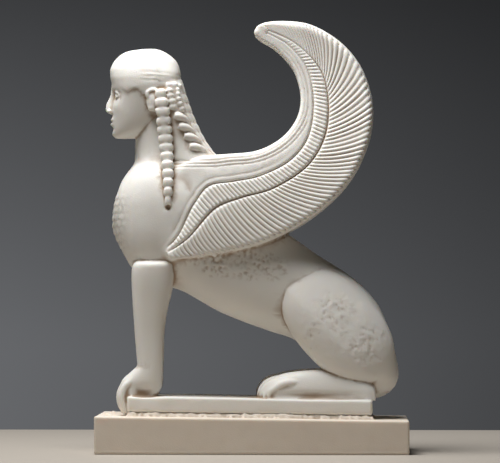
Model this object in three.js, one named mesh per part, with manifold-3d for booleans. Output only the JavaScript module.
// Seated winged sphinx, a tabletop figure cast in white stone paste, on a plain stone base.
// Millimetres, +Z up. The figure looks along -X. The origin is the middle of the base's underside.

import * as THREE from 'three';
import { LoftGeometry } from 'three/addons/geometries/LoftGeometry.js';
import { mergeVertices } from 'three/addons/utils/BufferGeometryUtils.js';
import Module from 'manifold-3d';

const wasm = await Module();
wasm.setup();

// ---------------------------------------------------------------- sizes

const baseBlock = { length: 160, width: 64, frontHeight: 19, rearHeight: 16, edge: 2.2 };
const restGap = 0.3;

// The figure stands a little behind the middle of its base.
const figureSetBack = 1;

const slab = { front: -64, rear: 61, halfWidth: 23, frontTop: 29.4, rearTop: 27.4, edge: 0.9 };

// Torso, chest first: each line gives a height or a half width at places along X.
const torso = {
  front: -72.2,
  rear: 76.3,
  slices: 19,
  ringPoints: 16,
  squareness: 2.4,
  top: [[-72.2, 121], [-70.5, 131.3], [-66.9, 140.1], [-60, 149.5], [-52, 153.5], [-40, 154], [-25, 147],
    [0, 125.5], [19, 111.2], [40.5, 94.8], [53.5, 87.2], [62.2, 75.5], [68.9, 62.6], [74.1, 49.7], [76.3, 44]],
  bottom: [[-72.2, 113], [-70.5, 109], [-67.4, 101.4], [-63.3, 94.6], [-56, 88], [-39.5, 83.8], [-16.3, 71.4],
    [9.6, 61.6], [19.9, 58.3], [34.3, 46.1], [53, 31], [63.3, 25.6], [68.9, 29.1], [74.6, 34.6], [76.3, 40]],
  halfWidth: [[-72.2, 5], [-70, 11.5], [-66, 17], [-60, 21], [-50, 23], [-35, 23], [-20, 21.5], [0, 19.5],
    [20, 18.5], [40, 20], [53, 21], [62, 19.5], [69, 15.5], [74, 9], [76.3, 4]],
};

// Breast feathers: rows of blunt points across the chest.
const breast = { bottom: 101, top: 137, rows: 6, pointsAcross: 6, reach: 58, proud: 0.5, point: 1 };

const haunch = { x: 46, y: 15, z: 63, long: 36, short: 21, deep: 10.5, turn: 47 };

const hindFoot = {
  toe: 3.3,
  heel: 63.7,
  side: 15.5,
  bottom: 26.4,
  slices: 9,
  farForward: 1.2,
  top: [[3.3, 31], [5.4, 35.4], [9.4, 38.8], [17, 41], [34.9, 42.6], [47.7, 41.5], [57.9, 38], [63, 34], [63.7, 32]],
  halfWidth: [[3.3, 4.2], [6, 6], [14, 6.8], [35, 6.2], [58, 6.4], [63.7, 4.8]],
  grooveEnd: 20,
};

// Foreleg and paw: front, back and half width at each height.
const foreleg = {
  front: [[19.4, -65.5], [21.3, -67], [24.4, -69.4], [31, -70], [37, -68.4], [40.8, -63.6], [45, -59.4],
    [50, -59.7], [63, -60.8], [78, -61.8], [91, -62.3], [98, -61.6]],
  back: [[19.4, -58], [24.4, -52], [29.5, -48.6], [34.6, -46], [45, -45.4], [63, -43.8], [78, -41.8], [98, -40.4]],
  halfWidth: [[19.4, 6], [24.4, 7], [34, 7.6], [45, 6.5], [63, 7.2], [78, 7.9], [98, 8.6]],
  sideLow: 12.8,
  sideHigh: 14.2,
  levels: [19.4, 22, 25.5, 29.5, 33.5, 37, 40, 43, 47, 60, 80, 98],
};

const toes = { depth: 0.9, ringPoints: 16 };

// Wing outlines in the side view, from the root on the flank to the tip.
const wing = {
  leading: [[-44, 104], [-47, 118], [-47, 134], [-41, 146], [-30, 151.5], [-14, 153], [0, 154.2], [9, 157.6], [17, 163.6],
    [23, 173], [24.3, 182.5], [20.5, 196.5], [12, 206.5], [3, 212.4], [0.4, 215], [0.8, 217.4]],
  innerGroove: [[-45.5, 103.3], [-38.2, 111.3], [-29.6, 128], [-22.5, 136.6], [-9.5, 139], [3, 141.6],
    [19, 149.7], [28.5, 160.8], [32.6, 178], [30.4, 195], [19.5, 209.2], [3.5, 217.5]],
  outerGroove: [[-44.2, 102], [-33.1, 109.8], [-18.7, 125.4], [-6, 130.6], [10, 135.2], [28, 147],
    [37, 161.5], [39.5, 179], [35.5, 195.3], [22, 209.8], [4.5, 218.2]],
  trailing: [[-42, 98.7], [-16, 101.8], [10, 109], [34, 123.3], [51, 140.7], [60.6, 161], [62.6, 175],
    [61, 186], [54.5, 200.4], [43, 212.4], [28, 220.4], [14, 221.8], [5.5, 220.8], [1.6, 219]],
  ribs: 30,
  ribDepth: 0.55,
  grooveDepth: 1.1,
  edgeRound: 2.6,
  flank: 24.6,
  tip: 9,
  leanBottom: 105,
  leanTop: 215,
  inner: 3.5,
  sunkRoot: 3,
};

const web = { halfThickness: 4, rows: 14, fromLeading: 0.42, fromTrailing: 0.22 };

const neck = {
  front: [[144, -63], [150, -60.6], [156.6, -60.7], [168, -60]],
  back: [[144, -30], [150, -33], [168, -40]],
  halfWidth: [[144, 16], [150, 13.2], [156, 11.8], [168, 11.4]],
  levels: [144, 149, 153, 158, 168],
};

// Head with its close cap of hair: front, back and half width at each height.
const head = {
  front: [[161.6, -70], [163.4, -72], [167, -72.4], [173, -72.2], [179, -71.4], [184, -70.8], [190, -71.8],
    [194.3, -73.5], [201, -71.4], [205.2, -66.8], [207, -62.4], [207.8, -58]],
  back: [[161.6, -60], [163.4, -54], [173, -44], [184, -40], [196, -37.4], [203, -39.6], [206.6, -44.8], [207.8, -50]],
  halfWidth: [[161.6, 4.6], [163.4, 8.6], [167, 11.2], [173, 13], [184, 14.4], [191, 15.6], [195, 16.6],
    [201, 15], [205, 11.4], [207, 7.6], [207.8, 3.6]],
  levels: [161.6, 163.4, 166, 170, 175, 180, 185, 190, 194, 198, 201.5, 204.5, 206.8, 207.8],
  ringPoints: 16,
};

const face = { eyeLine: 182.3, eyeApart: 5.6, noseRoot: 184, noseTip: 175.2, noseBase: 172.8, mouth: 168.9 };

// Long hair behind the neck: rows of beads in upright locks.
const hair = {
  front: [[150, -40], [163, -44], [181, -48], [197, -54]],
  back: [[150, -13.5], [156, -18.9], [163.3, -24], [171, -28.1], [181.4, -31.8], [190.7, -34.9], [197, -36.8]],
  halfWidth: [[150, 18.6], [163, 17.6], [181, 17], [192, 16.6], [197, 15]],
  bottom: 150,
  top: 197,
  beadRows: 8,
  ringPoints: 18,
  depth: 0.7,
};

const braid = {
  path: [[-50, 15, 182], [-45.3, 15.9, 175.4], [-43.2, 13.9, 164], [-42.7, 14.2, 154.5], [-42.3, 17.2, 147],
    [-42.2, 20.4, 139], [-42.4, 22.2, 132], [-42.7, 23, 126]],
  beads: 10,
  ringPoints: 7,
  halfWidth: 3.6,
  tipHalfWidth: 1.3,
  waist: 0.72,
};

const stone = { color: 0xe6e1d8, roughness: 0.6, metalness: 0 };
const baseStone = { color: 0xddd5c8, roughness: 0.7, metalness: 0 };

// ---------------------------------------------------------------- helpers

const degrees = Math.PI / 180;

function smoothstep(low, high, value) {
  const t = THREE.MathUtils.clamp((value - low) / (high - low), 0, 1);
  return t * t * (3 - 2 * t);
}

// Smooth value at `at` in a table of [place, value], without overshoot between its entries.
function valueAt(table, at) {
  const last = table.length - 1;
  if (at <= table[0][0]) return table[0][1];
  if (at >= table[last][0]) return table[last][1];
  const i = table.findIndex((entry) => entry[0] > at) - 1;
  const slope = (k) => (table[k + 1][1] - table[k][1]) / (table[k + 1][0] - table[k][0]);
  const tangent = (k) => {
    if (k === 0) return slope(0);
    if (k === last) return slope(last - 1);
    const product = slope(k - 1) * slope(k);
    return product <= 0 ? 0 : (2 * product) / (slope(k - 1) + slope(k));
  };
  const span = table[i + 1][0] - table[i][0];
  const t = (at - table[i][0]) / span;
  return (1 + 2 * t) * (1 - t) ** 2 * table[i][1] + t * (1 - t) ** 2 * span * tangent(i)
    + t * t * (3 - 2 * t) * table[i + 1][1] + t * t * (t - 1) * span * tangent(i + 1);
}

// Point of a rounded square outline (a superellipse) at an angle.
function roundedPoint(angle, halfA, halfB, squareness) {
  const c = Math.cos(angle);
  const s = Math.sin(angle);
  return [
    halfA * Math.sign(c) * Math.abs(c) ** (2 / squareness),
    halfB * Math.sign(s) * Math.abs(s) ** (2 / squareness),
  ];
}

function loft(sections) {
  return new LoftGeometry(sections, { closed: true, capStart: true, capEnd: true });
}

function solidOf(geometry) {
  const bare = new THREE.BufferGeometry();
  bare.setAttribute('position', geometry.attributes.position);
  bare.setIndex(geometry.index);
  const welded = mergeVertices(bare, 1e-4);
  return new wasm.Manifold(new wasm.Mesh({
    numProp: 3,
    vertProperties: new Float32Array(welded.attributes.position.array),
    triVerts: new Uint32Array(welded.index.array),
  }));
}

function geometryOf(solid) {
  const mesh = solid.getMesh();
  const geometry = new THREE.BufferGeometry();
  geometry.setAttribute('position', new THREE.BufferAttribute(mesh.vertProperties, 3));
  geometry.setIndex(new THREE.BufferAttribute(mesh.triVerts, 1));
  geometry.computeVertexNormals();
  return geometry;
}

// Level ring at height z, with its points counterclockwise from above.
function levelRing(part, z, centreY, count, squareness, carve = () => 0) {
  const front = valueAt(part.front, z);
  const back = valueAt(part.back, z);
  const half = valueAt(part.halfWidth, z);
  return Array.from({ length: count }, (_, i) => {
    const angle = (i / count) * 2 * Math.PI;
    const cut = carve(angle, i, z);
    const [x, y] = roundedPoint(angle, (back - front) / 2 - cut, half - cut, squareness);
    return new THREE.Vector3((front + back) / 2 + x, centreY + y, z);
  });
}

function ellipsoid(radii, place, turnAboutY = 0, around = 14, down = 10) {
  const geometry = new THREE.SphereGeometry(1, around, down);
  geometry.scale(...radii);
  geometry.rotateY(turnAboutY);
  geometry.translate(...place);
  return geometry;
}

const baseTop = (x) => THREE.MathUtils.mapLinear(
  x, -baseBlock.length / 2, baseBlock.length / 2, baseBlock.frontHeight, baseBlock.rearHeight);

// ---------------------------------------------------------------- base and slab

// Block along X with a sloping top and softened top edges and ends.
function softBlock(front, rear, halfWidth, bottomAt, topAt, edge) {
  const ends = [[front, edge], [front + edge * 0.3, edge * 0.3], [front + edge, 0],
    [rear - edge, 0], [rear - edge * 0.3, edge * 0.3], [rear, edge]];
  return loft(ends.map(([x, inset]) => {
    const half = halfWidth - inset;
    const top = topAt(x) - inset;
    const bottom = bottomAt(x);
    const outline = [[-half, bottom], [half, bottom], [half, top - edge], [half - edge * 0.3, top - edge * 0.3],
      [half - edge, top], [-half + edge, top], [-half + edge * 0.3, top - edge * 0.3], [-half, top - edge]];
    return outline.map(([y, z]) => new THREE.Vector3(x, y, z));
  }));
}

function baseGeometry() {
  const half = baseBlock.length / 2;
  return softBlock(-half, half, baseBlock.width / 2, () => 0, baseTop, baseBlock.edge);
}

function slabGeometry() {
  const top = (x) => THREE.MathUtils.mapLinear(x, slab.front, slab.rear, slab.frontTop, slab.rearTop);
  const underside = (x) => baseTop(x + figureSetBack) + restGap;
  return softBlock(slab.front, slab.rear, slab.halfWidth, underside, top, slab.edge);
}

// ---------------------------------------------------------------- body and legs

function torsoGeometry() {
  const middle = (torso.front + torso.rear) / 2;
  const reach = (torso.rear - torso.front) / 2;
  return loft(Array.from({ length: torso.slices + 1 }, (_, i) => {
    const x = middle - reach * Math.cos((i / torso.slices) * Math.PI);
    const top = valueAt(torso.top, x);
    const bottom = valueAt(torso.bottom, x);
    const half = valueAt(torso.halfWidth, x);
    return Array.from({ length: torso.ringPoints }, (__, k) => {
      const angle = (k / torso.ringPoints) * 2 * Math.PI;
      const [y, z] = roundedPoint(angle, half, (top - bottom) / 2, torso.squareness);
      return new THREE.Vector3(x, y, (top + bottom) / 2 + z);
    });
  }));
}

// Chest surface at a height: how far forward it is, and how wide.
function chestFrontAt(z) {
  let front = torso.rear;
  for (let x = torso.front; x < -40; x += 0.25) {
    if (valueAt(torso.bottom, x) <= z && z <= valueAt(torso.top, x)) {
      front = x;
      break;
    }
  }
  return front;
}

function torsoHalfWidthAt(x, z) {
  const top = valueAt(torso.top, x);
  const bottom = valueAt(torso.bottom, x);
  const level = Math.abs(z - (top + bottom) / 2) / ((top - bottom) / 2);
  return valueAt(torso.halfWidth, x) * Math.max(0, 1 - level ** torso.squareness) ** (1 / torso.squareness);
}

// Rows of blunt feather points that lie like shingles on the front of the chest.
function breastGeometry() {
  const across = breast.pointsAcross * 2;
  const rowHeight = (breast.top - breast.bottom) / breast.rows;
  const arc = (z, proud, zigzag, shift) => Array.from({ length: across + 1 }, (_, i) => {
    const turn = THREE.MathUtils.mapLinear(i, 0, across, -breast.reach, breast.reach) * degrees;
    const front = chestFrontAt(z) - proud;
    const depth = 22;
    const half = torsoHalfWidthAt(front + proud + 10, z) * 1.12 + proud;
    const drop = (i + shift) % 2 === 0 ? zigzag : 0;
    const fade = i === 0 || i === across ? -3 : 0;
    return new THREE.Vector3(
      front + depth - (depth + fade) * Math.cos(turn), (half + fade) * Math.sin(turn), z - drop);
  });
  const sections = [];
  for (let row = 0; row < breast.rows; row += 1) {
    const z = breast.bottom + row * rowHeight;
    sections.push(arc(z, breast.proud, breast.point, row));
    sections.push(arc(z + rowHeight * 0.97, 0, 0, row));
  }
  const backEdge = (points) => [points.at(-1), points[0]].map((p) => new THREE.Vector3(p.x + 4, p.y * 0.5, p.z));
  return loft(sections.map((points) => [...points, ...backEdge(points)].reverse()));
}

function haunchGeometry(side) {
  return ellipsoid([haunch.short, haunch.deep, haunch.long], [haunch.x, side * haunch.y, haunch.z],
    -(90 - haunch.turn) * degrees, 14, 9);
}

// Depth of the furrow between two toes at point i of a ring whose toes lie about `middle`.
function toeFurrow(i, middle, count, strength) {
  const away = Math.min(Math.abs(i - middle), count - Math.abs(i - middle));
  return away <= 4 && away % 2 === 0 ? toes.depth * strength : 0;
}

function hindFootGeometry(side) {
  const forward = side > 0 ? hindFoot.farForward : 0;
  const reach = hindFoot.heel - hindFoot.toe;
  const count = toes.ringPoints;
  return loft(Array.from({ length: hindFoot.slices + 1 }, (_, i) => {
    const x = hindFoot.toe + reach * (1 - Math.cos((i / hindFoot.slices) * Math.PI)) / 2;
    const strength = 1 - smoothstep(hindFoot.grooveEnd - 6, hindFoot.grooveEnd, x);
    const half = valueAt(hindFoot.halfWidth, x);
    const tall = valueAt(hindFoot.top, x) - hindFoot.bottom;
    return Array.from({ length: count }, (__, k) => {
      const cut = toeFurrow(k, count / 4, count, strength);
      const [y, z] = roundedPoint((k / count) * 2 * Math.PI, half - cut, tall - cut, 2.3);
      return new THREE.Vector3(x - forward, side * hindFoot.side + y, hindFoot.bottom + Math.max(z, -4));
    });
  }));
}

function forelegGeometry(side) {
  const count = toes.ringPoints;
  return loft(foreleg.levels.map((z) => {
    const strength = 1 - smoothstep(37, 43, z);
    const centre = side * THREE.MathUtils.mapLinear(z, 20, 98, foreleg.sideLow, foreleg.sideHigh);
    return levelRing(foreleg, z, centre, count, 2.4, (_, i) => toeFurrow(i, count / 2, count, strength));
  }));
}

// ---------------------------------------------------------------- wings

function outlineOf(points) {
  const curve = new THREE.CatmullRomCurve3(points.map(([x, z]) => new THREE.Vector3(x, 0, z)), false, 'centripetal');
  curve.arcLengthDivisions = 400;
  return (share) => curve.getPointAt(THREE.MathUtils.clamp(share, 0, 1));
}

const leadingAt = outlineOf(wing.leading);
const innerGrooveAt = outlineOf(wing.innerGroove);
const outerGrooveAt = outlineOf(wing.outerGroove);
const trailingAt = outlineOf(wing.trailing);

// The four outlines at one row of the wing. Rows fan out, so the outlines run at different paces.
function wingRow(s) {
  return {
    leading: leadingAt(s + 0.13 * Math.sin(Math.PI * s)),
    innerGroove: innerGrooveAt(s + 0.034 * Math.sin(Math.PI * s)),
    outerGroove: outerGrooveAt(s),
    trailing: trailingAt(s - 0.06 * Math.sin(Math.PI * s ** 1.5)),
  };
}

function wingFaceAt(z) {
  return THREE.MathUtils.lerp(wing.flank, wing.tip, smoothstep(wing.leanBottom, wing.leanTop, z));
}

function wingRing(s, isCrest, side) {
  const row = wingRow(s);
  const bent = wingRow(Math.max(0, s - 0.006));
  const ends = Math.min(1, s * 12, (1 - s) * 8);
  const rib = (isCrest ? 1 : -1) * wing.ribDepth * ends;
  const groove = wing.grooveDepth * ends;
  const sunk = wing.sunkRoot * (1 - smoothstep(0.12, 0.24, s));
  const between = (a, b, t) => a.clone().lerp(b, t);
  const outer = [
    [row.leading, -wing.edgeRound * ends - sunk],
    [between(row.leading, row.innerGroove, 0.16), -sunk * 0.6],
    [between(row.leading, row.innerGroove, 0.9), 0],
    [row.innerGroove, -groove],
    [between(row.innerGroove, row.outerGroove, 0.12), rib * 0.8],
    [between(row.innerGroove, row.outerGroove, 0.9), rib * 0.8],
    [row.outerGroove, -groove],
    [between(row.outerGroove, row.trailing, 0.07), rib * 0.6],
    [between(bent.outerGroove, bent.trailing, 0.5), rib],
    [between(row.outerGroove, row.trailing, 0.94), rib],
    [row.trailing, -wing.edgeRound * ends],
  ];
  const ring = outer.map(([p, lift]) => new THREE.Vector3(p.x, side * (wingFaceAt(p.z) + lift), p.z));
  const inner = [row.trailing, row.leading].map((p) => new THREE.Vector3(p.x, side * wing.inner, p.z));
  ring.push(...inner);
  return side < 0 ? ring : ring.reverse();
}

function wingGeometry(side) {
  const rows = wing.ribs * 2;
  return loft(Array.from({ length: rows + 1 }, (_, i) => wingRing(i / rows, i % 2 === 1, side)));
}

// Thin wall that joins the two wings, set back from their edges.
function webGeometry() {
  return loft(Array.from({ length: web.rows + 1 }, (_, i) => {
    const row = wingRow(THREE.MathUtils.mapLinear(i, 0, web.rows, 0.12, 0.97));
    const upper = row.leading.clone().lerp(row.outerGroove, web.fromLeading);
    const lower = row.trailing.clone().lerp(row.outerGroove, web.fromTrailing);
    return [[upper, -1], [lower, -1], [lower, 1], [upper, 1]].map(
      ([p, way]) => new THREE.Vector3(p.x, way * web.halfThickness, p.z));
  }));
}

// ---------------------------------------------------------------- neck, head and hair

function neckGeometry() {
  return loft(neck.levels.map((z) => levelRing(neck, z, 0, 12, 2.1)));
}

function headGeometry() {
  return loft(head.levels.map((z) => levelRing(head, z, 0, head.ringPoints, 2.25)));
}

function faceGeometries() {
  const faceAt = (z) => valueAt(head.front, z);
  const noseRing = (z, out, half) => [[-out, -half * 0.4], [-out, half * 0.4], [0, half], [3, half], [3, -half],
    [0, -half]].map(([x, y]) => new THREE.Vector3(faceAt(z) + 0.4 + x, y, z)).reverse();
  const nose = loft([
    noseRing(face.noseBase, 2.4, 3),
    noseRing(face.noseTip, 4.8, 3),
    noseRing((face.noseTip + face.noseRoot) / 2, 3, 1.9),
    noseRing(face.noseRoot, 1.2, 1.6),
  ]);
  const lips = [[face.mouth + 1, 1.7, 4.2], [face.mouth - 1.1, 1.6, 3.5]].map(
    ([z, out, half]) => ellipsoid([out, half, 1.15], [faceAt(z) + 0.8, 0, z], 0, 8, 6));
  const eyes = [-1, 1].map((side) => ellipsoid([2, 3, 1.6],
    [faceAt(face.eyeLine) + 2, side * face.eyeApart, face.eyeLine], 0, 8, 6));
  const ears = [-1, 1].map((side) => ellipsoid([3.2, 2.2, 6.2], [-51, side * 14.6, 178.6], 0, 8, 6));
  return [nose, ...lips, ...eyes, ...ears];
}

function hairGeometry() {
  const rows = hair.beadRows * 2;
  const carve = (row) => (_, i) => hair.depth * ((i % 2) + (row % 2));
  return loft(Array.from({ length: rows + 1 }, (_, row) => {
    const z = THREE.MathUtils.mapLinear(row, 0, rows, hair.bottom, hair.top);
    return levelRing(hair, z, 0, hair.ringPoints, 2.3, carve(row));
  }));
}

function braidGeometry(side) {
  const curve = new THREE.CatmullRomCurve3(braid.path.map(([x, y, z]) => new THREE.Vector3(x, side * y, z)));
  const steps = braid.beads * 2;
  return loft(Array.from({ length: steps + 1 }, (_, i) => {
    const share = i / steps;
    const centre = curve.getPointAt(share);
    const full = THREE.MathUtils.lerp(braid.halfWidth, braid.tipHalfWidth, smoothstep(0.55, 1, share));
    const radius = full * (i % 2 === 1 ? 1 : braid.waist);
    return Array.from({ length: braid.ringPoints }, (__, k) => {
      const angle = -(k / braid.ringPoints) * 2 * Math.PI;
      return new THREE.Vector3(centre.x + radius * Math.cos(angle), centre.y + radius * Math.sin(angle), centre.z);
    });
  }));
}

// ---------------------------------------------------------------- the two pieces

function sphinxGeometry() {
  const sides = [-1, 1];
  const forms = [
    slabGeometry(), torsoGeometry(), breastGeometry(), neckGeometry(), headGeometry(), hairGeometry(), webGeometry(),
    ...faceGeometries(),
    ...sides.map(haunchGeometry), ...sides.map(hindFootGeometry), ...sides.map(forelegGeometry),
    ...sides.map(wingGeometry), ...sides.map(braidGeometry),
  ];
  return geometryOf(forms.map(solidOf).reduce((whole, form) => whole.add(form)));
}

function pieceMesh(name, geometry, finish) {
  const mesh = new THREE.Mesh(geometry, new THREE.MeshStandardMaterial(finish));
  mesh.name = name;
  return mesh;
}

const group = new THREE.Group();
group.add(pieceMesh('base', baseGeometry(), baseStone));
const sphinx = pieceMesh('sphinx', sphinxGeometry(), stone);
sphinx.position.x = figureSetBack;
group.add(sphinx);

export default group;
